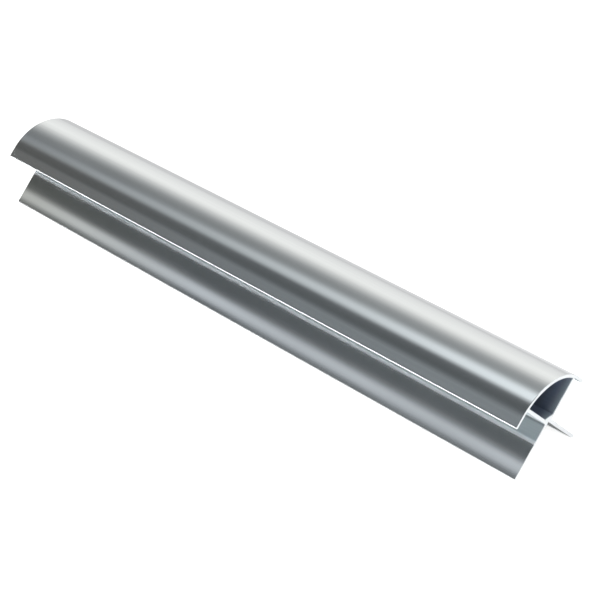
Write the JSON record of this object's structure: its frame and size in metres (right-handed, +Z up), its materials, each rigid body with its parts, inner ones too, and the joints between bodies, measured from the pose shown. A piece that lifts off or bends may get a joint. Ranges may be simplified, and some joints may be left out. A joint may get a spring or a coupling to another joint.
{
  "type": "aluminium outside corner trim profile",
  "caption": "Short length of extruded aluminium outside corner trim: a hollow quarter-round cover with lips over two panel slots, and two fixing legs that wrap a wall corner.",
  "frame": {"origin": "on the floor, under the middle of the piece, midway between the two leg tips", "axes": "+X along the extruded length towards the end that faces the camera in the picture, +Z up through the crown of the round cover, +Y across the section"},
  "size_m": [0.176, 0.0244, 0.0216],
  "materials": {
    "aluminium": "polished and clear anodised, sawn ends"
  },
  "bodies": {
    "root": {"corner_trim": "aluminium"}
  },
  "joints": []
}
